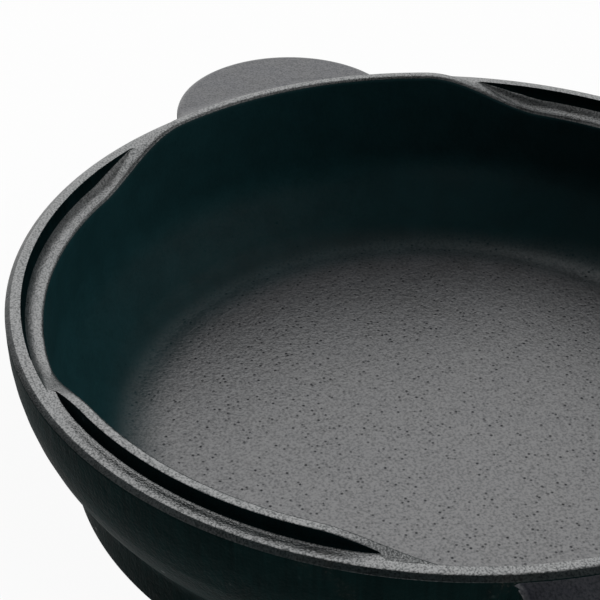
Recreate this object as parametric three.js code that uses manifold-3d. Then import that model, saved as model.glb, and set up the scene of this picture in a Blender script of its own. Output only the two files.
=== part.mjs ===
// A shallow cast iron pot with two round ears and a waved lid seat. Millimetres, +Z up.
// One casting, divided into its zones, which meet face to face. The origin is the centre of
// the underside, and the ears lie along X.
import * as THREE from 'three';
import { mergeVertices } from 'three/addons/utils/BufferGeometryUtils.js';
import Module from 'manifold-3d';

const wasm = await Module();
wasm.setup();

// Driving dimensions of the rim
const RIM_R = 131.7; // the pot's largest radius, just under the rim's chamfer
const RING_EDGE_R = 130; // outer edge of the ring's level top
const RING_INNER_R = 126.9; // inner edge of the ring's level top
const RING_TOP_Z = 60.5;
const CHAMFER_DROP = 1.2;
const SEAT_R = 126; // the ring's inner face at the foot of the rim
const SEAT_Z = 50.5; // where the rim starts on the wall's inner side
const LEDGE_Z = 54; // low stretches, which carry a lid
const LIP_Z = 64.6; // high stretches, which hold it in place
const LIP_OUTER_R = 124.8;
const LIP_FOOT_R = 125.3; // the lip's outer face spreads a little before it meets the ring
const LIP_FOOT_RISE = 0.36; // height of that foot, as a share of the lip's height over the ring

// Driving dimensions of the wave: each lip's middle and half width, in degrees from +X
const LIPS = [
  { middle: 180, halfWidth: 32 },
  { middle: 58.5, halfWidth: 27.75 },
  { middle: -58.5, halfWidth: 27.75 },
];
const RAMP = 19.5; // degrees that a lip takes to rise from ledge to full height

// Driving dimensions of the wall and base
const FLARE_R = 55; // the outside of the wall, an arc that starts upright
const FLARE_TOP_Z = 55.5;
const WALL = 5; // thickness of the wall below its crease
const CREASE_R = 119.4; // inner wall's foot, where the curve towards the floor begins
const INNER_TOP_R = 121; // inner wall at the height of the lips
const BASE_R = 115.6;
const BASE_CHAMFER = 1.2;
const FLOOR_Z = 6.5; // the base plate's thickness
const TOE_R = 104; // where the slope inside would meet the floor without its fillet
const FLOOR_FILLET = 15;
const FLOOR_EDGE = 0.4; // the fillet ends this thick over the floor, not as a feather edge

// Driving dimensions of the ears
const EAR_R = 40;
const EAR_CENTRE_X = 130.1;
const EAR_TOP_Z = 53;
const EAR_THICK = 7.5;
const EAR_ROUND = 2.4; // rounding of the ear's edges
const EAR_FLARE = 2; // radius of the ear's corners, seen from above, where it meets the rim
const EAR_TOP_FILLET = RING_TOP_Z - CHAMFER_DROP - EAR_TOP_Z; // rises to the rim's chamfer
const EAR_UNDER_FILLET = 4;
const EAR_TIP = 0.05; // the ear's last section stops this short of its round outline
const EAR_GAP = 0.3; // between an ear and the wall that carries it
const EAR_TANG = 12; // an ear is drawn from this deep in the wall, and the wall is then cut out of it

// Facets: every round piece shares the same steps, so neighbours have the same flats
const SEGMENTS = 96;
const STEP = 360 / SEGMENTS;
const ARC_STEPS = 5;
const EAR_ACROSS = 12; // facets across an ear
const EAR_ROOT_STEPS = 4; // sections along the hollow where an ear leaves the wall
const EAR_DISC_STEPS = 8; // sections from there to the ear's tip
const WELD = 1e-3; // corners closer than this are one

const iron = () => new THREE.MeshStandardMaterial({ color: 0x1c1d1e, roughness: 0.5, metalness: 0.3 });
const rad = THREE.MathUtils.degToRad;
const lerp = THREE.MathUtils.lerp;
const point = (r, z) => new THREE.Vector2(r, z);

// Profile curves, as radius against height

// The height at which an arc about the flare's centre reaches a radius.
function flareZ(arcR, r) {
  return FLARE_TOP_Z - Math.sqrt(arcR ** 2 - (r - (RIM_R - FLARE_R)) ** 2);
}

const BAND_TOP_Z = flareZ(FLARE_R, BASE_R); // the wall's flare ends on the base band
const CREASE_Z = flareZ(FLARE_R - WALL, CREASE_R);

// The inner wall above its crease, a straight draft.
function innerR(z) {
  return THREE.MathUtils.mapLinear(z, CREASE_Z, LIP_Z, CREASE_R, INNER_TOP_R);
}

// The ring's inner face, a straight draft.
function ringInnerR(z) {
  return THREE.MathUtils.mapLinear(z, SEAT_Z, RING_TOP_Z, SEAT_R, RING_INNER_R);
}

// Points on an arc, angles in degrees from the outward radius.
function arc(centre, radius, from, to, steps = ARC_STEPS) {
  const points = [];
  for (let i = 0; i <= steps; i++) {
    const angle = rad(from + ((to - from) * i) / steps);
    points.push(point(centre.x + radius * Math.cos(angle), centre.y + radius * Math.sin(angle)));
  }
  return points;
}

// Points on an arc about the flare's centre, between two heights.
function flareArc(arcR, fromZ, toZ, steps) {
  const angleAt = (z) => THREE.MathUtils.radToDeg(Math.asin((z - FLARE_TOP_Z) / arcR));
  return arc(point(RIM_R - FLARE_R, FLARE_TOP_Z), arcR, angleAt(fromZ), angleAt(toZ), steps);
}

// Height of the waved band at an angle: the ledge's, the lip's, or a smooth ramp between.
function bandZ(degrees) {
  let share = 0;
  for (const { middle, halfWidth } of LIPS) {
    const away = Math.abs(THREE.MathUtils.euclideanModulo(degrees - middle + 180, 360) - 180);
    const rise = 1 - THREE.MathUtils.smoothstep(away, halfWidth - RAMP / 2, halfWidth + RAMP / 2);
    share = Math.max(share, rise);
  }
  return lerp(LEDGE_Z, LIP_Z, share);
}

// Solids

// A closed profile turned about Z.
function turned(profile) {
  return new THREE.LatheGeometry([...profile, profile[0]], SEGMENTS).rotateX(Math.PI / 2);
}

// A profile from the axis round to the axis again, turned about Z.
function turnedFromAxis(profile) {
  return new THREE.LatheGeometry(profile, SEGMENTS).rotateX(Math.PI / 2);
}

// An outline drawn through a number of steps, each of its corners placed by its index and the step.
function drawn(outline, count, place) {
  const geometry = new THREE.ExtrudeGeometry(new THREE.Shape(outline), {
    steps: count,
    depth: count,
    bevelEnabled: false,
  });
  const position = geometry.getAttribute('position');
  for (let i = 0; i < position.count; i++) {
    const flat = point(position.getX(i), position.getY(i));
    const distances = outline.map((p) => p.distanceTo(flat));
    const corner = distances.indexOf(Math.min(...distances));
    position.setXYZ(i, ...place(corner, Math.round(position.getZ(i))));
  }
  geometry.deleteAttribute('normal');
  return geometry;
}

// A section that changes with the angle, carried round Z from one facet step to another.
function swept(sectionAt, firstStep, lastStep) {
  return drawn(sectionAt(firstStep * STEP), lastStep - firstStep, (corner, step) => {
    const degrees = (lastStep - step) * STEP;
    const here = sectionAt(degrees)[corner];
    return [here.x * Math.cos(rad(degrees)), here.x * Math.sin(rad(degrees)), here.y];
  });
}

function solidOf(geometry) {
  const bare = geometry.clone();
  bare.deleteAttribute('normal');
  bare.deleteAttribute('uv');
  const merged = mergeVertices(bare, WELD);
  return new wasm.Manifold(
    new wasm.Mesh({
      numProp: 3,
      vertProperties: merged.getAttribute('position').array,
      triVerts: new Uint32Array(merged.index.array),
    }),
  );
}

function geometryOf(solid) {
  const mesh = solid.getMesh();
  return new THREE.BufferGeometry()
    .setAttribute('position', new THREE.BufferAttribute(mesh.vertProperties, 3))
    .setIndex(new THREE.BufferAttribute(mesh.triVerts, 1));
}

// Base, wall and ring

function basePlate() {
  return turnedFromAxis([
    point(0, 0),
    point(BASE_R - BASE_CHAMFER, 0),
    point(BASE_R, BASE_CHAMFER),
    point(BASE_R, FLOOR_Z),
    point(0, FLOOR_Z),
  ]);
}

function lowerWall() {
  const slope = Math.atan2(CREASE_Z - FLOOR_Z, CREASE_R - TOE_R);
  const middle = point(TOE_R - FLOOR_FILLET * Math.tan(slope / 2), FLOOR_Z + FLOOR_FILLET);
  const edge = Math.acos(1 - FLOOR_EDGE / FLOOR_FILLET);
  const degrees = THREE.MathUtils.radToDeg;
  const sweep = arc(middle, FLOOR_FILLET, degrees(slope) - 90, degrees(edge) - 90);
  return turned([
    point(BASE_R, FLOOR_Z),
    ...flareArc(FLARE_R, BAND_TOP_Z, CREASE_Z, ARC_STEPS),
    point(CREASE_R, CREASE_Z),
    ...sweep,
    point(sweep[sweep.length - 1].x, FLOOR_Z),
  ]);
}

function upperWall() {
  return turned([
    ...flareArc(FLARE_R, CREASE_Z, FLARE_TOP_Z, ARC_STEPS),
    point(RIM_R, RING_TOP_Z - CHAMFER_DROP),
    point(SEAT_R, SEAT_Z),
    point(innerR(SEAT_Z), SEAT_Z),
    point(CREASE_R, CREASE_Z),
  ]);
}

function rimRing() {
  return turned([
    point(SEAT_R, SEAT_Z),
    point(RIM_R, RING_TOP_Z - CHAMFER_DROP),
    point(RING_EDGE_R, RING_TOP_Z),
    point(RING_INNER_R, RING_TOP_Z),
  ]);
}

// The waved band inside the ring

function ledgeSection() {
  return [
    point(innerR(SEAT_Z), SEAT_Z),
    point(SEAT_R, SEAT_Z),
    point(ringInnerR(LEDGE_Z), LEDGE_Z),
    point(innerR(LEDGE_Z), LEDGE_Z),
  ];
}

function lipSection(degrees) {
  const top = bandZ(degrees);
  const ringContact = Math.min(top, RING_TOP_Z);
  const foot = ringContact + LIP_FOOT_RISE * (top - ringContact);
  return [
    point(innerR(SEAT_Z), SEAT_Z),
    point(SEAT_R, SEAT_Z),
    point(ringInnerR(ringContact), ringContact),
    point(LIP_FOOT_R, foot),
    point(LIP_OUTER_R, top),
    point(innerR(top), top),
  ];
}

// The facet steps that hold a lip and both its ramps.
function lipSteps({ middle, halfWidth }) {
  const reach = halfWidth + RAMP / 2;
  return [Math.floor((middle - reach) / STEP), Math.ceil((middle + reach) / STEP)];
}

// Ears

// How far a hollow corner of a radius still stands out, at a distance from the face it leaves.
function hollow(radius, away) {
  const inside = THREE.MathUtils.clamp(radius - away, 0, radius);
  return radius - Math.sqrt(radius ** 2 - inside ** 2);
}

// Half the ear's width on a circle about Z: a half disc whose corners flare into the rim.
function earHalfWidth(r) {
  const x = (r ** 2 + EAR_CENTRE_X ** 2 - EAR_R ** 2) / (2 * EAR_CENTRE_X);
  return x > EAR_CENTRE_X ? Math.sqrt(r ** 2 - x ** 2) : EAR_R + hollow(EAR_FLARE, r - RIM_R);
}

// The ear's section on a circle about Z, as width against height: flat faces whose edges are rounded
// all along the outline, and which spread into the wall at the root.
function earSection(r) {
  const halfWidth = earHalfWidth(r);
  const rounding = (y) => {
    const x = Math.sqrt(r ** 2 - y ** 2);
    const toDisc = EAR_R - Math.hypot(x - EAR_CENTRE_X, y);
    return hollow(EAR_ROUND, x > EAR_CENTRE_X ? toDisc : halfWidth - Math.abs(y));
  };
  const top = EAR_TOP_Z + hollow(EAR_TOP_FILLET, r - RIM_R);
  const bottom = EAR_TOP_Z - EAR_THICK - hollow(EAR_UNDER_FILLET, r - RIM_R);
  const across = Array.from({ length: EAR_ACROSS + 1 }, (_, i) =>
    halfWidth * Math.sin((i / EAR_ACROSS - 0.5) * Math.PI));
  const under = across.map((y) => point(y, bottom + rounding(y)));
  const over = across.map((y) => point(y, top - rounding(y)));
  return [...under, ...over.reverse()];
}

// The circles about Z that carry an ear's sections, closer together where the ear turns.
function earCircles() {
  const tip = EAR_CENTRE_X + EAR_R - EAR_TIP - RIM_R;
  const quarter = (i, steps) => (i / steps) * (Math.PI / 2);
  const circles = [RIM_R - EAR_TANG];
  for (let i = 0; i < EAR_ROOT_STEPS; i++) {
    circles.push(RIM_R + EAR_TOP_FILLET * (1 - Math.cos(quarter(i, EAR_ROOT_STEPS))));
  }
  for (let i = 0; i <= EAR_DISC_STEPS; i++) {
    circles.push(RIM_R + lerp(EAR_TOP_FILLET, tip, Math.sin(quarter(i, EAR_DISC_STEPS))));
  }
  return circles;
}

// The wall that the ears grow from, as a plain solid with the ears' gap added.
function wallCutter() {
  const flare = flareArc(FLARE_R, CREASE_Z, FLARE_TOP_Z, ARC_STEPS);
  return turnedFromAxis([
    point(0, CREASE_Z),
    ...flare.map((p) => point(p.x + EAR_GAP, p.y)),
    point(RIM_R + EAR_GAP, LIP_Z),
    point(0, LIP_Z),
  ]);
}

function earHandle() {
  const circles = earCircles();
  const sections = circles.map(earSection);
  const bar = drawn(sections[0], circles.length - 1, (corner, step) => {
    const { x: y, y: z } = sections[step][corner];
    return [Math.sqrt(circles[step] ** 2 - y ** 2), y, z];
  });
  return geometryOf(solidOf(bar).subtract(solidOf(wallCutter())));
}

// Assembly

const pot = new THREE.Group();

function addZone(name, geometry, turn = 0) {
  const mesh = new THREE.Mesh(geometry, iron());
  mesh.name = name;
  mesh.rotation.z = turn;
  pot.add(mesh);
}

addZone('base_plate', basePlate());
addZone('lower_wall', lowerWall());
addZone('upper_wall', upperWall());
addZone('rim_ring', rimRing());

const steps = LIPS.map(lipSteps).sort((a, b) => a[0] - b[0]);
steps.forEach(([first, last], i) => {
  const [next] = steps[(i + 1) % steps.length];
  const ledgeEnd = next > last ? next : next + SEGMENTS;
  addZone(`raised_lip_${i + 1}`, swept(lipSection, first, last));
  addZone(`lid_ledge_${i + 1}`, swept(ledgeSection, last, ledgeEnd));
});

addZone('ear_handle_1', earHandle());
addZone('ear_handle_2', earHandle(), Math.PI);

export default pot;
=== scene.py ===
"""A shallow cast iron pot: one black casting with two round ears and a waved lid seat.

Metres, +Z up. The origin is the centre of the underside, and the ears lie along X.
"""

import logging
import math
from collections.abc import Callable
from dataclasses import dataclass, replace
from enum import Enum
from typing import Any

import bmesh
import bpy
from mathutils import Matrix, Vector


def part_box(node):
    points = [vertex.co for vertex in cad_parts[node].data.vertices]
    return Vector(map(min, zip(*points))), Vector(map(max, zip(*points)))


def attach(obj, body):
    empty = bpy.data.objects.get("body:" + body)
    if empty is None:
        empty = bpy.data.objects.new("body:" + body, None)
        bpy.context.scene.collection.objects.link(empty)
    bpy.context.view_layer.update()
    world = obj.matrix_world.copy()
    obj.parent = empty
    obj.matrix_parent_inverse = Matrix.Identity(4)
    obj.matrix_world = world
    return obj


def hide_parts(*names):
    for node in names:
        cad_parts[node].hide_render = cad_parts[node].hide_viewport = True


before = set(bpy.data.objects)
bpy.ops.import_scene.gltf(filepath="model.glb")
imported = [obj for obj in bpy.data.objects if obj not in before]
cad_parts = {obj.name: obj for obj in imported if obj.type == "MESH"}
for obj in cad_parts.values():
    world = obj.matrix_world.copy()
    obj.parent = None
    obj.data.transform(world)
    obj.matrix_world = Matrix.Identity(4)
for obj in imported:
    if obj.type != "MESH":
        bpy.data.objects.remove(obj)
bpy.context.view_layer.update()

BODY = "root"
FULL_TURN = 2 * math.pi
TURN_STEPS = 384
ARC_STEP = math.radians(6)
WELD = 1e-6
SHARP_ANGLE = math.radians(32)
ROUND_STEPS = 5

# Where finishes change: how far a face looks away from the axis, or up, from -1 to 1
BOWL_OUT = 0.3
BOWL_DOWN = -0.3
BAND_OUT = 0.6
BAND_IN = -0.85
RING_OUT = 0.88
RING_EDGE = 0.4
RING_IN = -0.6
EAR_UP = 0.35

# Outside this radius, the waved band lines the groove inside the ring, whose faces take a painted shade
GROOVE_R = 0.1225

log = logging.getLogger("pot")


class Skin(Enum):
    """Which finish a face of the casting takes. The value is its place among a piece's materials."""

    INSIDE = 0
    RIM = 1
    OUTSIDE = 2
    EAR = 3
    EDGE = 4
    # The groove between lips and ring: a darker copy of the outside finish, as painted shade
    GROOVE = 5


# Node expressions


class Wire:
    """An output of a node, which plain arithmetic joins to others through Math nodes."""

    def __init__(self, sheet: "NodeSheet", socket: bpy.types.NodeSocket) -> None:
        """Keeps the socket and the sheet that it belongs to."""
        self.sheet = sheet
        self.socket = socket

    def _math(self, operation: str, *operands: Any) -> "Wire":
        """Adds a Math node.

        Args:
            operation: the Math node's operation.
            operands: its inputs in order, wires or numbers.

        Returns:
            The result.
        """
        return self.sheet.add("Math", {"operation": operation}, dict(enumerate(operands)))

    def __add__(self, other: Any) -> "Wire":
        """This plus the other."""
        return self._math("ADD", self, other)

    def __radd__(self, other: Any) -> "Wire":
        """The other plus this."""
        return self._math("ADD", other, self)

    def __sub__(self, other: Any) -> "Wire":
        """This minus the other."""
        return self._math("SUBTRACT", self, other)

    def __rsub__(self, other: Any) -> "Wire":
        """The other minus this."""
        return self._math("SUBTRACT", other, self)

    def __mul__(self, other: Any) -> "Wire":
        """This times the other."""
        return self._math("MULTIPLY", self, other)

    def __rmul__(self, other: Any) -> "Wire":
        """The other times this."""
        return self._math("MULTIPLY", other, self)

    def larger(self, other: Any) -> "Wire":
        """The larger of this and the other."""
        return self._math("MAXIMUM", self, other)


class NodeSheet:
    """A node tree that is written as expressions."""

    def __init__(self, tree: bpy.types.NodeTree) -> None:
        """Empties the tree for writing."""
        self.tree = tree
        tree.nodes.clear()

    def add(self, kind: str, settings: dict[str, Any], inputs: dict[Any, Any], output: Any = 0) -> Wire:
        """Adds a node.

        Args:
            kind: the node's type, without its prefix.
            settings: the node's properties.
            inputs: values or wires for its sockets, by name or by number.
            output: the name or number of the output that is wanted.

        Returns:
            That output.
        """
        node = self.tree.nodes.new(f"ShaderNode{kind}")
        for name, value in settings.items():
            setattr(node, name, value)
        for name, value in inputs.items():
            if isinstance(value, Wire):
                self.tree.links.new(value.socket, node.inputs[name])
            else:
                node.inputs[name].default_value = value
        return Wire(self, node.outputs[output])

    def add_output(self, surface: Wire, kind: str = "Material") -> None:
        """Ends the sheet: the shader goes to the material's or the world's output."""
        end = self.tree.nodes.new(f"ShaderNodeOutput{kind}")
        self.tree.links.new(surface.socket, end.inputs["Surface"])

    def ease(self, value: Any, low: float, high: float) -> Wire:
        """A soft step from 0 at low to 1 at high.

        Args:
            value: the wire that is stepped.
            low: where the step starts.
            high: where it ends, which may lie below its start.

        Returns:
            The step.
        """
        if low > high:
            return 1 - self.ease(value, high, low)
        settings = {"interpolation_type": "SMOOTHSTEP"}
        return self.add("MapRange", settings, {"Value": value, "From Min": low, "From Max": high})

    def blend(self, share: Any, first: Any, second: Any) -> Wire:
        """Two colours mixed.

        Args:
            share: how much of the second colour shows.
            first: a colour or a wire of one.
            second: a colour or a wire of one.

        Returns:
            The mixed colour.
        """
        node_inputs = {0: share, 6: first, 7: second}
        return self.add("Mix", {"data_type": "RGBA"}, node_inputs, output=2)

    def noise(self, place: Wire, size: float, detail: float = 2.0, rough: float = 0.5) -> Wire:
        """Noise between 0 and 1.

        Args:
            place: the coordinates.
            size: the size of a lump in metres.
            detail: how many finer layers lie on it.
            rough: how strong those are.

        Returns:
            The noise.
        """
        inputs = {"Vector": place, "Scale": 1 / size, "Detail": detail, "Roughness": rough}
        return self.add("TexNoise", {}, inputs)

    def stretched(self, place: Wire, scale: tuple[float, float, float]) -> Wire:
        """Coordinates scaled by an amount along each axis."""
        return self.add("Mapping", {}, {"Vector": place, "Scale": scale})


def rgba(colour: tuple[float, float, float]) -> tuple[float, float, float, float]:
    """A colour with full cover."""
    return (*colour, 1.0)


# Finishes


def blank_material(name: str) -> tuple[bpy.types.Material, NodeSheet, Wire]:
    """A new material.

    Args:
        name: its name.

    Returns:
        The material, its empty sheet, and the coordinates of the piece that wears it.
    """
    material = bpy.data.materials.new(name)
    material.use_nodes = True
    sheet = NodeSheet(material.node_tree)
    return material, sheet, sheet.add("TexCoord", {}, {}, output="Object")


@dataclass(frozen=True)
class IronFinish:
    """A black iron skin: its colour, gloss, sand grain, pits and marks.

    Sizes are in metres. A pair of numbers holds the levels of a noise between which a mark fades in.
    """

    name: str
    tint: tuple[float, float, float]
    ior: float
    roughness: float
    grain_size: float
    grain_depth: float
    lump_size: float
    lump_depth: float
    pit_spacing: float
    pit_size: float
    pit_share: float
    pit_depth: float
    mottle: float
    speckle: float
    cloud: float = 0.25
    streak: float = 0.0
    streak_depth: float = 0.0
    rust: float = 0.0
    grit: float = 0.0
    grit_tint: tuple[float, float, float] = (0.075, 0.068, 0.060)
    rust_tint: tuple[float, float, float] = (0.028, 0.024, 0.019)
    mottle_size: float = 0.011
    streak_width: float = 0.0012
    streak_height: float = 0.022
    rust_size: float = 0.035
    pit_core: float = 0.2
    worn: tuple[float, float] = (0.3, 0.7)
    sparkling: tuple[float, float] = (0.35, 0.75)
    rusty: tuple[float, float] = (0.52, 0.72)
    gritty: tuple[float, float] = (0.55, 0.75)

    def material(self) -> bpy.types.Material:
        """The finish as a material."""
        material, sheet, place = blank_material(self.name)
        sheet.add_output(self.skin(sheet, place))
        return material

    def skin(self, sheet: NodeSheet, place: Wire) -> Wire:
        """The finish as a shader.

        Args:
            sheet: where the nodes go.
            place: the coordinates.

        Returns:
            The shader.
        """
        pits = self._pits(sheet, place)
        grain = sheet.noise(place, self.grain_size, detail=1.5)
        lumps = sheet.noise(place, self.lump_size, detail=1.0)
        marks = self._marks(sheet, place)
        height = grain * self.grain_depth + lumps * self.lump_depth - pits * self.pit_depth
        height = height + marks * self.streak_depth
        relief = {"Strength": 1.0, "Distance": 1.0, "Height": height}
        shader = {
            "Base Color": self._colour(sheet, place, marks, grain),
            "Metallic": pits.larger(sheet.ease(grain, *self.sparkling) * self.speckle),
            "Roughness": self.roughness + (marks - 0.5) * self.mottle,
            "IOR": self.ior,
            "Normal": sheet.add("Bump", {}, relief, output="Normal"),
        }
        return sheet.add("BsdfPrincipled", {}, shader)

    def _pits(self, sheet: NodeSheet, place: Wire) -> Wire:
        """Small round pits, scattered.

        Args:
            sheet: where the nodes go.
            place: the coordinates.

        Returns:
            1 in the middle of a pit and 0 outside.
        """
        cells = {"Vector": place, "Scale": 1 / self.pit_spacing, "Randomness": 1.0}
        near = sheet.add("TexVoronoi", {}, cells, output="Distance")
        chance = sheet.add("TexVoronoi", {}, cells, output="Color")
        reach = self.pit_size / self.pit_spacing
        chosen = sheet.ease(chance, 1 - self.pit_share, 1.0)
        return sheet.ease(near, reach, reach * self.pit_core) * chosen

    def _marks(self, sheet: NodeSheet, place: Wire) -> Wire:
        """Cloudy uneven wear, with upright streaks where the finish has them.

        Args:
            sheet: where the nodes go.
            place: the coordinates.

        Returns:
            A value about 0.5 that says how worn the skin is.
        """
        clouds = sheet.noise(place, self.mottle_size, detail=3.0, rough=0.6)
        if self.streak == 0:
            return clouds
        drawn = sheet.stretched(place, (1.0, 1.0, self.streak_width / self.streak_height))
        streaks = sheet.noise(drawn, self.streak_width, detail=2.0)
        return clouds * (1 - self.streak) + streaks * self.streak

    def _colour(self, sheet: NodeSheet, place: Wire, marks: Wire, grain: Wire) -> Wire:
        """The skin's colour.

        Args:
            sheet: where the nodes go.
            place: the coordinates.
            marks: how worn the skin is.
            grain: the height of the sand grain.

        Returns:
            The colour, darker and lighter with the wear and browner, with pale grit, where rust shows.
        """
        dark = rgba(tuple(c * (1 - self.cloud) for c in self.tint))
        light = rgba(tuple(c * (1 + self.cloud) for c in self.tint))
        black = sheet.blend(sheet.ease(marks, *self.worn), dark, light)
        if self.rust == 0:
            return black
        patches = sheet.ease(sheet.noise(place, self.rust_size, detail=4.0, rough=0.65), *self.rusty)
        brown = sheet.blend(patches * self.rust, black, rgba(self.rust_tint))
        grains = sheet.ease(grain, *self.gritty) * patches * self.grit
        return sheet.blend(grains, brown, rgba(self.grit_tint))


@dataclass(frozen=True)
class InsideFinish:
    """The inside's skin: rubbed bright on the floor and dull on the wall, with a soft change between. The
    bright floor is partly real rubbed wear and partly painted light: its middle sits off the axis and the
    change comes early, so the floor is painted darker towards the wall as shade.
    """

    name: str
    floor: IronFinish
    wall: IronFinish
    # The bright floor's middle, off the axis, and the radii of the change: set to paint the floor's light
    # and its shade near the wall
    middle: tuple[float, float, float] = (0.0015, 0.0037, 0.0)
    bright_r: float = 0.087
    dull_r: float = 0.108

    def material(self) -> bpy.types.Material:
        """The finish as a material."""
        material, sheet, place = blank_material(self.name)
        level = sheet.add("VectorMath", {"operation": "MULTIPLY"}, {0: place, 1: (1, 1, 0)})
        ends = {0: level, 1: self.middle}
        away = sheet.add("VectorMath", {"operation": "DISTANCE"}, ends, output="Value")
        share = sheet.ease(away, self.bright_r, self.dull_r)
        skins = {0: share, 1: self.floor.skin(sheet, place), 2: self.wall.skin(sheet, place)}
        sheet.add_output(sheet.add("MixShader", {}, skins))
        return material


FLOOR_IRON = IronFinish(
    name="floor_iron",
    tint=(0.0075, 0.0085, 0.0115),
    ior=2.55,
    roughness=0.42,
    grain_size=0.0009,
    grain_depth=0.00006,
    lump_size=0.0018,
    lump_depth=0.00011,
    pit_spacing=0.0017,
    pit_size=0.00075,
    pit_share=0.9,
    pit_depth=0.00006,
    mottle=0.08,
    speckle=0.4,
)
WALL_IRON = IronFinish(
    name="wall_iron",
    tint=(0.0034, 0.0180, 0.0205),
    ior=1.18,
    roughness=0.42,
    grain_size=0.0011,
    grain_depth=0.00005,
    lump_size=0.004,
    lump_depth=0.00010,
    pit_spacing=0.006,
    pit_size=0.0007,
    pit_share=0.5,
    pit_depth=0.00005,
    mottle=0.10,
    speckle=0.2,
    cloud=0.1,
)
INSIDE_IRON = InsideFinish(name="inside_iron", floor=FLOOR_IRON, wall=WALL_IRON)
RIM_IRON = IronFinish(
    name="rim_iron",
    tint=(0.0065, 0.0120, 0.0130),
    ior=3.1,
    roughness=0.29,
    grain_size=0.0006,
    grain_depth=0.00012,
    lump_size=0.0035,
    lump_depth=0.00015,
    pit_spacing=0.005,
    pit_size=0.0009,
    pit_share=0.4,
    pit_depth=0.00012,
    mottle=0.15,
    speckle=0.7,
    rust=0.5,
)
EDGE_IRON = replace(RIM_IRON, name="edge_iron", ior=1.65)
EAR_IRON = IronFinish(
    name="ear_iron",
    tint=(0.0065, 0.0085, 0.0150),
    ior=1.88,
    roughness=0.31,
    grain_size=0.0007,
    grain_depth=0.00008,
    lump_size=0.0035,
    lump_depth=0.00015,
    pit_spacing=0.005,
    pit_size=0.0009,
    pit_share=0.3,
    pit_depth=0.00008,
    mottle=0.15,
    speckle=0.5,
)
OUTSIDE_IRON = IronFinish(
    name="outside_iron",
    tint=(0.0035, 0.0125, 0.0125),
    ior=1.05,
    roughness=0.5,
    grain_size=0.0009,
    grain_depth=0.00022,
    lump_size=0.004,
    lump_depth=0.00025,
    pit_spacing=0.005,
    pit_size=0.0009,
    pit_share=0.4,
    pit_depth=0.00012,
    mottle=0.2,
    speckle=0.0,
    cloud=0.3,
    streak=0.5,
    streak_depth=0.00015,
    rust=0.25,
    grit=0.8,
)
# Painted shade for the groove between lips and ring: the outside finish at about a third of its colour,
# with no grit or rust
SHADED_GROOVE_IRON = replace(OUTSIDE_IRON, name="groove_painted_shade", tint=(0.0010, 0.0045, 0.0050), grit=0.0, rust=0.0)
FINISHES: dict[Skin, IronFinish | InsideFinish] = {
    Skin.INSIDE: INSIDE_IRON,
    Skin.RIM: RIM_IRON,
    Skin.OUTSIDE: OUTSIDE_IRON,
    Skin.EAR: EAR_IRON,
    Skin.EDGE: EDGE_IRON,
    Skin.GROOVE: SHADED_GROOVE_IRON,
}


# Sections, as radius against height


def point(r: float, z: float) -> Vector:
    """A point of a section."""
    return Vector((r, z))


def arc(centre: Vector, radius: float, start: float, end: float) -> list[Vector]:
    """Points along an arc.

    Args:
        centre: the arc's centre.
        radius: its radius.
        start: the angle of its first point, from the outward radius.
        end: the angle of its last point.

    Returns:
        The points, both ends with them.
    """
    steps = max(1, math.ceil(abs(end - start) / ARC_STEP))
    angles = [start + (end - start) * i / steps for i in range(steps + 1)]
    return [centre + radius * point(math.cos(a), math.sin(a)) for a in angles]


def rounded(
    before: Vector,
    corner: Vector,
    after: Vector,
    radius: float,
    steps: int = ROUND_STEPS,
) -> list[Vector]:
    """A corner with a round of a radius.

    Args:
        before: a point on the side that leads to the corner.
        corner: the corner.
        after: a point on the side that leaves it.
        radius: the round's radius.
        steps: how many straight steps make the round.

    Returns:
        The points along the round, always the same number of them.
    """
    if radius < WELD:
        return [corner.copy() for _ in range(steps + 1)]
    back = (before - corner).normalized()
    ahead = (after - corner).normalized()
    half = back.angle(ahead) / 2
    reach = radius / math.tan(half)
    centre = corner + (back + ahead).normalized() * (radius / math.sin(half))
    first = corner + back * reach - centre
    last = corner + ahead * reach - centre
    turn = math.pi - 2 * half
    points = []
    for i in range(steps + 1):
        share = i / steps
        a = math.sin((1 - share) * turn) / math.sin(turn)
        b = math.sin(share * turn) / math.sin(turn)
        points.append(centre + first * a + last * b)
    return points


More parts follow.
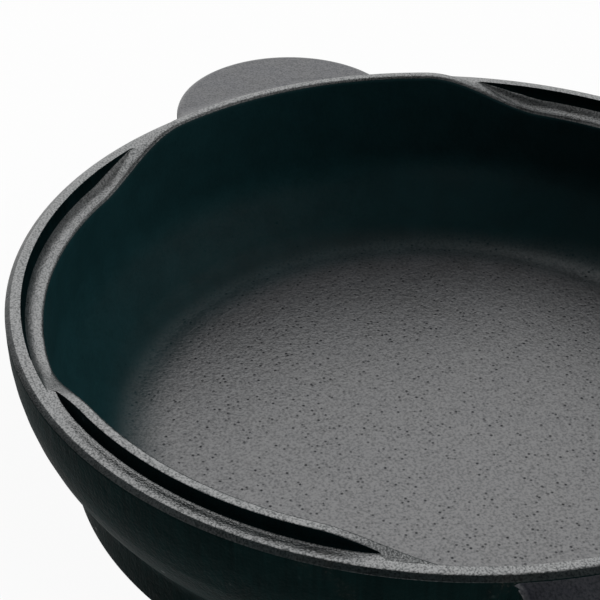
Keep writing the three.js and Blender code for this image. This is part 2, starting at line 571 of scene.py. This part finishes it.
@dataclass
class PotForm:
    """The pot's sizes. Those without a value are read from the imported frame."""

    base_r: float
    floor_z: float
    rim_r: float
    ring_top_z: float
    seat_z: float
    ledge_z: float
    lip_z: float
    ring_edge_r: float = 0.1300
    ring_inner_r: float = 0.1269
    chamfer_drop: float = 0.0012
    seam_drop: float = 0.003
    seat_r: float = 0.1260
    lip_outer_r: float = 0.1248
    lip_foot_r: float = 0.1253
    flare_r: float = 0.055
    flare_top_z: float = 0.0555
    wall: float = 0.005
    inner_top_r: float = 0.1210
    crease_r: float = 0.1194
    crease_round: float = 0.024
    crease_steps: int = 12
    toe_r: float = 0.104
    floor_fillet: float = 0.015
    floor_steps: int = 20
    base_round: float = 0.0016
    band_fillet: float = 0.009

    @classmethod
    def from_frame(cls) -> "PotForm":
        """The form with its main sizes read from the frame's nodes."""
        _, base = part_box("base_plate")
        _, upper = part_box("upper_wall")
        ring_low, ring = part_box("rim_ring")
        _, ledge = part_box("lid_ledge_1")
        _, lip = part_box("raised_lip_3")
        return cls(
            base_r=base.x,
            floor_z=base.z,
            rim_r=upper.x,
            ring_top_z=ring.z,
            seat_z=ring_low.z,
            ledge_z=ledge.z,
            lip_z=lip.z,
        )

    def flare_centre(self) -> Vector:
        """The centre of the flare's arc."""
        return point(self.rim_r - self.flare_r, self.flare_top_z)

    def flare_z(self, arc_r: float, r: float) -> float:
        """The height of an arc about the flare's centre where it has a radius r."""
        centre = self.flare_centre()
        return centre.y - math.sqrt(arc_r**2 - (r - centre.x) ** 2)

    def inside_z(self, r: float) -> float:
        """The height of the inner slope, one wall's thickness within the flare, at a radius."""
        return self.flare_z(self.flare_r - self.wall, r)

    def inner_r(self, z: float) -> float:
        """The inner wall's radius at a height, a straight draft from the lip down to the crease."""
        crease_z = self.inside_z(self.crease_r)
        share = (z - crease_z) / (self.lip_z - crease_z)
        return self.crease_r + share * (self.inner_top_r - self.crease_r)

    def foot_curve(self) -> list[Vector]:
        """The inside from the wall's crease down the slope and in one sweep into the floor."""
        top = point(self.inner_top_r, self.lip_z)
        crease = point(self.crease_r, self.inside_z(self.crease_r))
        toe = point(self.toe_r, self.floor_z)
        return [
            *rounded(top, crease, toe, self.crease_round, self.crease_steps),
            *rounded(crease, toe, point(0, self.floor_z), self.floor_fillet, self.floor_steps),
        ]

    def split_z(self) -> float:
        """The height at which the upper wall ends and the lower wall starts, a little over the crease."""
        return self.foot_curve()[0].y + self.base_round

    def seam_z(self) -> float:
        """The height of the seam between ring and wall, on the upright stretch under the chamfer."""
        return self.ring_top_z - self.seam_drop

    def band_curve(self) -> list[Vector]:
        """The hollow outside between the upright base band and the flare, touching both."""
        flare = self.flare_centre()
        reach = self.flare_r + self.band_fillet
        across = self.base_r + self.band_fillet - flare.x
        middle = point(self.base_r + self.band_fillet, flare.y - math.sqrt(reach**2 - across**2))
        return arc(middle, self.band_fillet, math.pi, math.pi - math.acos(across / reach))

    def ring_face_r(self, z: float) -> float:
        """The radius of the ring's inner face at a height, a straight draft."""
        share = (z - self.seat_z) / (self.ring_top_z - self.seat_z)
        return self.seat_r + share * (self.ring_inner_r - self.seat_r)

    def flare(self, start_z: float, end_z: float) -> list[Vector]:
        """The wall's outside between two heights.

        Args:
            start_z: the height of the first point.
            end_z: the height of the last point.

        Returns:
            Points along the curve.
        """
        start = math.asin((start_z - self.flare_top_z) / self.flare_r)
        end = math.asin((end_z - self.flare_top_z) / self.flare_r)
        return arc(self.flare_centre(), self.flare_r, start, end)


# Meshes


def section_of(mesh: bmesh.types.BMesh, points: list[Vector], closed: bool) -> list[Any]:
    """Draws a section in the XZ plane.

    Args:
        mesh: where it is drawn.
        points: its points, as radius against height.
        closed: whether its last point joins its first.

    Returns:
        The new vertices and edges.
    """
    corners = [mesh.verts.new((p.x, 0.0, p.y)) for p in points]
    edges = [mesh.edges.new(pair) for pair in zip(corners, corners[1:])]
    if closed:
        edges.append(mesh.edges.new((corners[-1], corners[0])))
    return corners + edges


def turned(points: list[Vector], closed: bool) -> bmesh.types.BMesh:
    """A section turned all the way about Z.

    Args:
        points: the section's points.
        closed: whether the section closes on itself, or runs from the axis to the axis.

    Returns:
        The closed solid.
    """
    mesh = bmesh.new()
    geom = section_of(mesh, points, closed)
    bmesh.ops.spin(
        mesh,
        geom=geom,
        axis=(0, 0, 1),
        cent=(0, 0, 0),
        angle=FULL_TURN,
        steps=TURN_STEPS,
        use_merge=True,
    )
    tidy(mesh)
    return mesh


def tidy(mesh: bmesh.types.BMesh) -> None:
    """Closes a solid's seams and poles and turns its faces outwards."""
    bmesh.ops.remove_doubles(mesh, verts=mesh.verts, dist=WELD)
    bmesh.ops.dissolve_degenerate(mesh, edges=mesh.edges, dist=WELD)
    bmesh.ops.recalc_face_normals(mesh, faces=mesh.faces)


def outward(face: bmesh.types.BMFace) -> float:
    """How far a face looks away from the pot's axis, from -1 to 1."""
    radial = face.calc_center_median()
    radial.z = 0
    return face.normal.dot(radial.normalized()) if radial.length > WELD else 0.0


def bowl_skin(face: bmesh.types.BMFace) -> Skin:
    """The finish of a face of the bowl: what looks out or down is outside."""
    looks_out = outward(face) > BOWL_OUT or face.normal.z < BOWL_DOWN
    return Skin.OUTSIDE if looks_out else Skin.INSIDE


def band_skin(face: bmesh.types.BMFace) -> Skin:
    """The finish of a face of the waved band: what looks inwards goes on from the wall or takes the
    groove's painted shade, and what looks out into the groove takes that painted shade too.
    """
    if outward(face) > BAND_OUT:
        return Skin.GROOVE
    if outward(face) > BAND_IN:
        return Skin.RIM
    return Skin.INSIDE if face.calc_center_median().xy.length < GROOVE_R else Skin.GROOVE


def ring_skin(face: bmesh.types.BMFace) -> Skin:
    """The finish of a face of the ring: what looks straight out goes on from the wall, and its inner face
    takes the groove's painted shade.
    """
    if outward(face) > RING_OUT:
        return Skin.OUTSIDE
    if outward(face) < RING_IN:
        return Skin.GROOVE
    return Skin.EDGE if outward(face) > RING_EDGE else Skin.RIM


def ear_skin(face: bmesh.types.BMFace) -> Skin:
    """The finish of a face of an ear: what looks up is rubbed, and the rest goes on from the wall."""
    return Skin.EAR if face.normal.z > EAR_UP else Skin.OUTSIDE


class Foundry:
    """Makes pieces of solids and gives them their finishes."""

    def __init__(self) -> None:
        """Makes the finishes once, for all pieces to share."""
        self.materials = {skin: finish.material() for skin, finish in FINISHES.items()}

    def cast(
        self,
        node: str,
        slot: str,
        mesh: bmesh.types.BMesh,
        skin: Callable[[bmesh.types.BMFace], Skin],
    ) -> bpy.types.Object:
        """Turns a solid into the piece that stands for a node.

        Args:
            node: the node's name.
            slot: the name of a material slot, which is not used.
            mesh: the solid, which is used up.
            skin: says which finish a face takes.

        Returns:
            The piece.
        """
        for face in mesh.faces:
            face.smooth = True
            face.material_index = skin(face).value
        data = bpy.data.meshes.new(f"{node}_iron")
        mesh.to_mesh(data)
        mesh.free()
        data.set_sharp_from_angle(angle=SHARP_ANGLE)
        for choice in Skin:
            data.materials.append(self.materials[choice])
        piece = bpy.data.objects.new(f"{node}_casting", data)
        bpy.context.scene.collection.objects.link(piece)
        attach(piece, BODY)
        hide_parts(node)
        log.info("%s: %d faces", piece.name, len(data.polygons))
        return piece


@dataclass
class Bowl:
    """The base plate and the two zones of the wall."""

    form: PotForm
    foundry: Foundry
    slot: str = "bowl_iron"

    def build(self) -> None:
        """Makes the bowl's three pieces."""
        for node, mesh in (
            ("base_plate", self.base_plate()),
            ("lower_wall", self.lower_wall()),
            ("upper_wall", self.upper_wall()),
        ):
            self.foundry.cast(node, self.slot, mesh, bowl_skin)

    def base_plate(self) -> bmesh.types.BMesh:
        """The flat underside, the foot of the base band and the cooking floor."""
        f = self.form
        foot = point(f.base_r, 0)
        seam = point(f.base_r, f.floor_z)
        edge = rounded(point(0, 0), foot, seam, f.base_round)
        return turned([point(0, 0), *edge, seam, point(0, f.floor_z)], closed=False)

    def lower_wall(self) -> bmesh.types.BMesh:
        """The base band, the flare over it, and the curve down to the floor inside."""
        f = self.form
        band = f.band_curve()
        outside = f.flare(band[-1].y, f.split_z())
        brink = point(f.inner_r(f.split_z()), f.split_z())
        section = [point(f.base_r, f.floor_z), *band, *outside[1:], brink, *f.foot_curve()]
        return turned(section, closed=True)

    def upper_wall(self) -> bmesh.types.BMesh:
        """The flared wall from the floor's curve up to the rim."""
        f = self.form
        outside = f.flare(f.split_z(), f.flare_top_z)
        return turned(
            [
                *outside,
                point(f.rim_r, f.seam_z()),
                point(f.seat_r, f.seat_z),
                point(f.inner_r(f.seat_z), f.seat_z),
                point(f.inner_r(f.split_z()), f.split_z()),
            ],
            closed=True,
        )


@dataclass
class RimRing:
    """The level outer ring of the rim, with its chamfered edge."""

    form: PotForm
    foundry: Foundry
    slot: str = "rim_iron"
    chamfer_round: float = 0.0008
    edge_round: float = 0.002
    inner_round: float = 0.00025

    def build(self) -> None:
        """Makes the ring."""
        f = self.form
        seat = point(f.seat_r, f.seat_z)
        seam = point(f.rim_r, f.seam_z())
        shoulder = point(f.rim_r, f.ring_top_z - f.chamfer_drop)
        edge = point(f.ring_edge_r, f.ring_top_z)
        brink = point(f.ring_inner_r, f.ring_top_z)
        section = [
            seat,
            seam,
            *rounded(seam, shoulder, edge, self.chamfer_round),
            *rounded(shoulder, edge, brink, self.edge_round),
            *rounded(edge, brink, seat, self.inner_round),
        ]
        self.foundry.cast("rim_ring", self.slot, turned(section, closed=True), ring_skin)


@dataclass(frozen=True)
class Lip:
    """A high stretch of the waved band: its middle and half its width, in degrees from +X."""

    middle: float
    half_width: float


@dataclass
class WavedBand:
    """The band inside the ring: three raised lips and the three low ledges between them."""

    form: PotForm
    foundry: Foundry
    lips: tuple[Lip, ...] = (Lip(-58.5, 27.75), Lip(58.5, 27.75), Lip(180.0, 32.0))
    ramp: float = 19.5
    facet: float = 3.75
    slot: str = "rim_iron"
    overlap: float = 0.0007
    sink: float = 0.00001
    cove: float = 0.0054
    foot_fillet: float = 0.0014
    fillet_share: float = 0.6
    outer_round: float = 0.0007
    round_share: float = 0.3
    inner_round: float = 0.0018

    def build(self) -> None:
        """Makes each lip, and the ledge from it to the next lip."""
        spans = [self.span(lip) for lip in self.lips]
        for i, (start, end) in enumerate(spans):
            following = spans[(i + 1) % len(spans)][0]
            ledge_end = following if following > end else following + 360
            self.cast(f"raised_lip_{i + 1}", start, end)
            self.cast(f"lid_ledge_{i + 1}", end, ledge_end)

    def cast(self, node: str, start: float, end: float) -> None:
        """Makes one stretch of the band.

        Args:
            node: the node that it stands for.
            start: the angle where it starts, in degrees.
            end: the angle where it ends.
        """
        self.foundry.cast(node, self.slot, self.stretch(start, end), band_skin)

    def span(self, lip: Lip) -> tuple[float, float]:
        """The angles that hold a lip and both its ramps, on whole facets."""
        reach = lip.half_width + self.ramp / 2
        first = math.floor((lip.middle - reach) / self.facet)
        last = math.ceil((lip.middle + reach) / self.facet)
        return first * self.facet, last * self.facet

    def top_z(self, degrees: float) -> float:
        """The band's height at an angle: the ledge's, the lip's, or a smooth ramp between.

        Args:
            degrees: the angle from +X.

        Returns:
            The height.
        """
        share = 0.0
        for lip in self.lips:
            away = abs((degrees - lip.middle + 180) % 360 - 180)
            ramp = (away - lip.half_width) / self.ramp + 0.5
            ramp = min(max(ramp, 0.0), 1.0)
            share = max(share, 1 - ramp * ramp * (3 - 2 * ramp))
        return self.form.ledge_z + share * (self.form.lip_z - self.form.ledge_z)

    def section(self, top: float) -> list[Vector]:
        """The band's section where its top has a height, always with the same number of points.

        Args:
            top: the height.

        Returns:
            The section's points, as radius against height.
        """
        f = self.form
        contact = min(top, f.ring_top_z)
        rise = max(top - f.ring_top_z, 0.0)
        lean = (f.lip_foot_r - f.lip_outer_r) * rise / (f.lip_z - f.ring_top_z)
        foot = point(f.lip_outer_r + lean, contact)
        brink = point(f.lip_outer_r, top)
        cove = min(self.cove, f.ring_top_z - contact)
        corner = point(f.ring_face_r(contact + cove), contact)
        bank = point(f.ring_face_r(contact + cove) + self.overlap, contact + cove - self.sink)
        lip_edge = point(f.inner_r(top), top)
        wall = point(f.inner_r(f.seat_z), f.seat_z)
        if rise < self.sink:
            over_corner = corner + point(0, self.cove)
            outer = rounded(over_corner, corner, lip_edge, cove, steps=2 * ROUND_STEPS + 1)
        else:
            fillet = min(self.foot_fillet, self.fillet_share * rise)
            round_off = min(self.outer_round, self.round_share * rise)
            outer = rounded(bank, foot, brink, fillet) + rounded(foot, brink, lip_edge, round_off)
        return [
            wall,
            point(f.seat_r, f.seat_z),
            bank,
            *outer,
            *rounded(brink, lip_edge, wall, self.inner_round),
        ]

    def stretch(self, start: float, end: float) -> bmesh.types.BMesh:
        """The band between two angles.

        Args:
            start: the angle where it starts, in degrees.
            end: the angle where it ends.

        Returns:
            The closed solid.
        """
        mesh = bmesh.new()
        corner_of = mesh.verts.layers.int.new("corner")
        section = self.section(self.form.lip_z)
        geom = section_of(mesh, section, closed=True)
        corners = [item for item in geom if isinstance(item, bmesh.types.BMVert)]
        for i, vert in enumerate(corners):
            vert[corner_of] = i
        cap = bmesh.ops.contextual_create(mesh, geom=geom)["faces"]
        to_start = Matrix.Rotation(math.radians(start), 3, "Z")
        bmesh.ops.rotate(mesh, verts=mesh.verts, cent=(0, 0, 0), matrix=to_start)
        bmesh.ops.spin(
            mesh,
            geom=geom + cap,
            axis=(0, 0, 1),
            cent=(0, 0, 0),
            angle=math.radians(end - start),
            steps=round((end - start) * TURN_STEPS / 360),
        )
        for vert in mesh.verts:
            angle = math.atan2(vert.co.y, vert.co.x)
            here = self.section(self.top_z(math.degrees(angle)))[vert[corner_of]]
            vert.co = (here.x * math.cos(angle), here.x * math.sin(angle), here.y)
        tidy(mesh)
        return mesh


@dataclass
class Ears:
    """The two round tab handles."""

    form: PotForm
    foundry: Foundry
    radius: float = 0.040
    centre_x: float = 0.1301
    top_z: float = 0.053
    thick: float = 0.0075
    edge_round: float = 0.0024
    flare: float = 0.002
    under_fillet: float = 0.004
    slope: float = 0.014
    root: float = 0.004
    tip: float = 0.000002
    out_steps: int = 56
    across_steps: int = 56
    slot: str = "rim_iron"

    def build(self) -> None:
        """Makes both ears, the second turned half way round."""
        for node, turn in (("ear_handle_1", 0.0), ("ear_handle_2", math.pi)):
            mesh = self.ear()
            turn_about_z = Matrix.Rotation(turn, 3, "Z")
            bmesh.ops.rotate(mesh, verts=mesh.verts, cent=(0, 0, 0), matrix=turn_about_z)
            self.foundry.cast(node, self.slot, mesh, ear_skin)

    @staticmethod
    def hollow(radius: float, away: float) -> float:
        """How far a hollow corner still stands out.

        Args:
            radius: the corner's radius.
            away: the distance from the face that it leaves.

        Returns:
            The distance it stands out.
        """
        inside = min(max(radius - away, 0.0), radius)
        return radius - math.sqrt(radius**2 - inside**2)

    def climb(self, away: float) -> float:
        """How far the ear's top has climbed towards the rim's chamfer, at a distance from the wall."""
        share = min(max(1 - away / self.slope, 0.0), 1.0)
        return (self.form.ring_top_z - self.form.chamfer_drop - self.top_z) * share**2

    def half_width(self, r: float) -> float:
        """Half the ear's width on a circle about Z: a half disc whose corners flare into the rim."""
        x = (r**2 + self.centre_x**2 - self.radius**2) / (2 * self.centre_x)
        if x > self.centre_x:
            return math.sqrt(max(r**2 - x**2, 0.0))
        return self.radius + self.hollow(self.flare, r - self.form.rim_r)

    def circle(self, share: float) -> float:
        """The radius of a circle that carries a section.

        Args:
            share: 0 at the root and 1 at the tip.

        Returns:
            The radius. The circles lie closer together at the tip, where the ear turns.
        """
        start = self.form.rim_r - self.root
        end = self.centre_x + self.radius - self.tip
        return start + (end - start) * math.sin(share * math.pi / 2)

    def place(self, share: float, across: float, under: bool) -> Vector:
        """A point on the ear's skin.

        Args:
            share: how far out it lies, 0 at the root and 1 at the tip.
            across: how far from the middle, from -1 to 1.
            under: whether it is on the lower face.

        Returns:
            The point.
        """
        r = self.circle(share)
        half_width = self.half_width(r)
        y = half_width * math.sin(across * math.pi / 2)
        x = math.sqrt(r**2 - y**2)
        to_disc = self.radius - math.hypot(x - self.centre_x, y)
        to_edge = to_disc if x > self.centre_x else half_width - abs(y)
        rounding = self.hollow(self.edge_round, max(to_edge, 0.0))
        away = r - self.form.rim_r
        if under:
            z = self.top_z - self.thick - self.hollow(self.under_fillet, away) + rounding
        else:
            z = self.top_z + self.climb(away) - rounding
        return Vector((x, y, z))

    def ear(self) -> bmesh.types.BMesh:
        """One ear along +X: a grid drawn down into a slab, and each corner put in its place."""
        mesh = bmesh.new()
        grid = bmesh.ops.create_grid(
            mesh, x_segments=self.out_steps, y_segments=self.across_steps, size=1.0
        )
        upper = set(grid["verts"])
        bmesh.ops.extrude_face_region(mesh, geom=mesh.faces[:])
        for vert in mesh.verts:
            share = (vert.co.x + 1) / 2
            vert.co = self.place(share, vert.co.y, vert not in upper)
        tidy(mesh)
        return mesh


# Studio


@dataclass(frozen=True)
class Glow:
    """A soft round patch of light in the surroundings, in degrees.

    It stands a turn to the left of straight behind the pot and a rise above the floor. It is at its
    full level out to one angle from its middle, and ends at another.
    """

    turn: float
    rise: float
    full: float
    end: float
    level: float

    def shine(self, sheet: NodeSheet, look: Wire, behind: float) -> Wire:
        """The patch's light.

        Args:
            sheet: where the nodes go.
            look: the direction that is looked in.
            behind: the turn of the direction straight behind the pot, in radians.

        Returns:
            The light in that direction.
        """
        turn = behind + math.radians(self.turn)
        rise = math.radians(self.rise)
        middle = (-math.sin(turn) * math.cos(rise), math.cos(turn) * math.cos(rise), math.sin(rise))
        near = sheet.add("VectorMath", {"operation": "DOT_PRODUCT"}, {0: look, 1: middle}, output="Value")
        edges = math.cos(math.radians(self.end)), math.cos(math.radians(self.full))
        return sheet.ease(near, *edges) * self.level


@dataclass
class Studio:
    """A pale floor, white surroundings with soft patches of light in them, and the camera.

    The lamps light matt surfaces, over an even fill. The gloss patches are what glossy surfaces
    mirror, over an even surround.
    """

    camera_place: tuple[float, float, float] = (0.40621, -0.20791, 0.36451)
    camera_turn: float = math.radians(68.4)
    camera_pitch: float = math.radians(34.546)
    lens: float = 108.9
    sensor: float = 36.0
    clip_start: float = 0.01
    floor_r: float = 8.0
    floor_sides: int = 96
    floor_drop: float = 0.0001
    floor_colour: tuple[float, float, float] = (0.88, 0.88, 0.88)
    floor_white: float = 0.95
    fill: float = 0.03
    lamps: tuple[Glow, ...] = (
        Glow(turn=-86, rise=46, full=8, end=50, level=3.1),
        Glow(turn=115, rise=6, full=6, end=22, level=1.0),
    )
    surround: float = 0.008
    gloss: tuple[Glow, ...] = (
        Glow(turn=13, rise=35, full=24, end=50, level=1.29),
        Glow(turn=-95, rise=24, full=8, end=42, level=0.3),
        Glow(turn=172, rise=16, full=8, end=30, level=0.9),
        Glow(turn=105, rise=30, full=8, end=36, level=0.5),
    )

    def build(self) -> None:
        """Sets up the camera, the floor, the light and the picture's plain colours."""
        self.camera()
        self.floor()
        self.world()
        bpy.context.scene.view_settings.view_transform = "Standard"

    def camera(self) -> None:
        """The camera, at the viewing angle of the reference."""
        data = bpy.data.cameras.new("camera")
        data.lens = self.lens
        data.sensor_width = self.sensor
        data.clip_start = self.clip_start
        camera = bpy.data.objects.new("camera", data)
        camera.location = self.camera_place
        camera.rotation_euler = (math.pi / 2 - self.camera_pitch, 0, self.camera_turn)
        bpy.context.scene.collection.objects.link(camera)
        bpy.context.scene.camera = camera

    def floor(self) -> None:
        """A plain pale floor under the pot."""
        mesh = bmesh.new()
        bmesh.ops.create_circle(mesh, cap_ends=True, radius=self.floor_r, segments=self.floor_sides)
        bmesh.ops.translate(mesh, verts=mesh.verts, vec=(0, 0, -self.floor_drop))
        data = bpy.data.meshes.new("floor")
        mesh.to_mesh(data)
        mesh.free()
        material, sheet, _ = blank_material("pale_floor")
        paint = sheet.add("BsdfDiffuse", {}, {"Color": rgba(self.floor_colour)})
        white = sheet.add("Emission", {}, {"Color": rgba((1, 1, 1)), "Strength": 1.0})
        share = self.shown(sheet) * self.floor_white
        sheet.add_output(sheet.add("MixShader", {}, {0: share, 1: paint, 2: white}))
        data.materials.append(material)
        floor = bpy.data.objects.new("floor", data)
        bpy.context.scene.collection.objects.link(floor)

    @staticmethod
    def shown(sheet: NodeSheet) -> Wire:
        """1 for rays that show a thing, straight or by gloss or glass, and 0 for rays that light."""
        rays = ("Is Camera Ray", "Is Glossy Ray", "Is Transmission Ray")
        camera_ray, glossy_ray, clear_ray = (sheet.add("LightPath", {}, {}, output=ray) for ray in rays)
        return camera_ray.larger(glossy_ray).larger(clear_ray)

    def world(self) -> None:
        """White for the camera, the lamps for matt surfaces and the gloss patches for glossy ones."""
        world = bpy.data.worlds.new("studio")
        world.use_nodes = True
        bpy.context.scene.world = world
        sheet = NodeSheet(world.node_tree)
        look = sheet.add("TexCoord", {}, {}, output="Generated")
        behind = self.camera_turn
        mirrored = sum((glow.shine(sheet, look, behind) for glow in self.gloss), self.surround)
        matt_light = sum((lamp.shine(sheet, look, behind) for lamp in self.lamps), self.fill)
        camera_ray = sheet.add("LightPath", {}, {}, output="Is Camera Ray")
        shown = self.shown(sheet)
        seen = shown * (camera_ray + (1 - camera_ray) * mirrored) + (1 - shown) * matt_light
        sheet.add_output(sheet.add("Background", {}, {"Color": seen, "Strength": 1.0}), "World")


def main() -> None:
    """Builds the pot piece by piece, and the studio around it."""
    logging.basicConfig(level=logging.INFO, format="%(name)s: %(message)s")
    form = PotForm.from_frame()
    foundry = Foundry()
    for zone in (Bowl, RimRing, WavedBand, Ears):
        zone(form, foundry).build()
    Studio().build()


if __name__ == "__main__":
    main()
